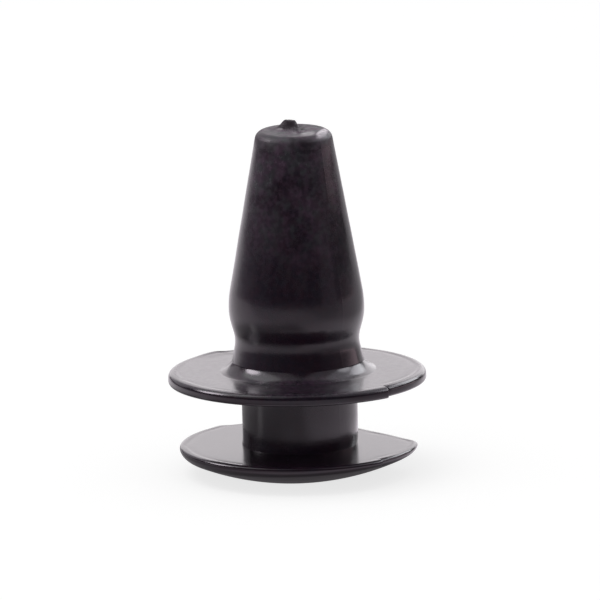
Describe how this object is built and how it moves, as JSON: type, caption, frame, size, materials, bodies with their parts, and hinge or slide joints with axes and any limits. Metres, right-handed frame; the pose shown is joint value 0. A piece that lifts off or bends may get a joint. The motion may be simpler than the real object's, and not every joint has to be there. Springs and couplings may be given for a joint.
{
  "type": "push rivet",
  "caption": "Solid moulded plastic push rivet: a long tapered nose above a round flange, a short shank, and a domed head cut flat along a side.",
  "frame": {"origin": "on the rivet's axis, at the foot of the head", "axes": "+Z along the rivet's axis towards the nose's tip, +X towards the flat side of the head; the mould's parting plane is X = 0"},
  "size_m": [0.02, 0.0206, 0.0277],
  "materials": {
    "plastic": "glossy as-moulded plastic, very dark plum"
  },
  "bodies": {
    "root": {"rivet": "plastic"}
  },
  "joints": []
}
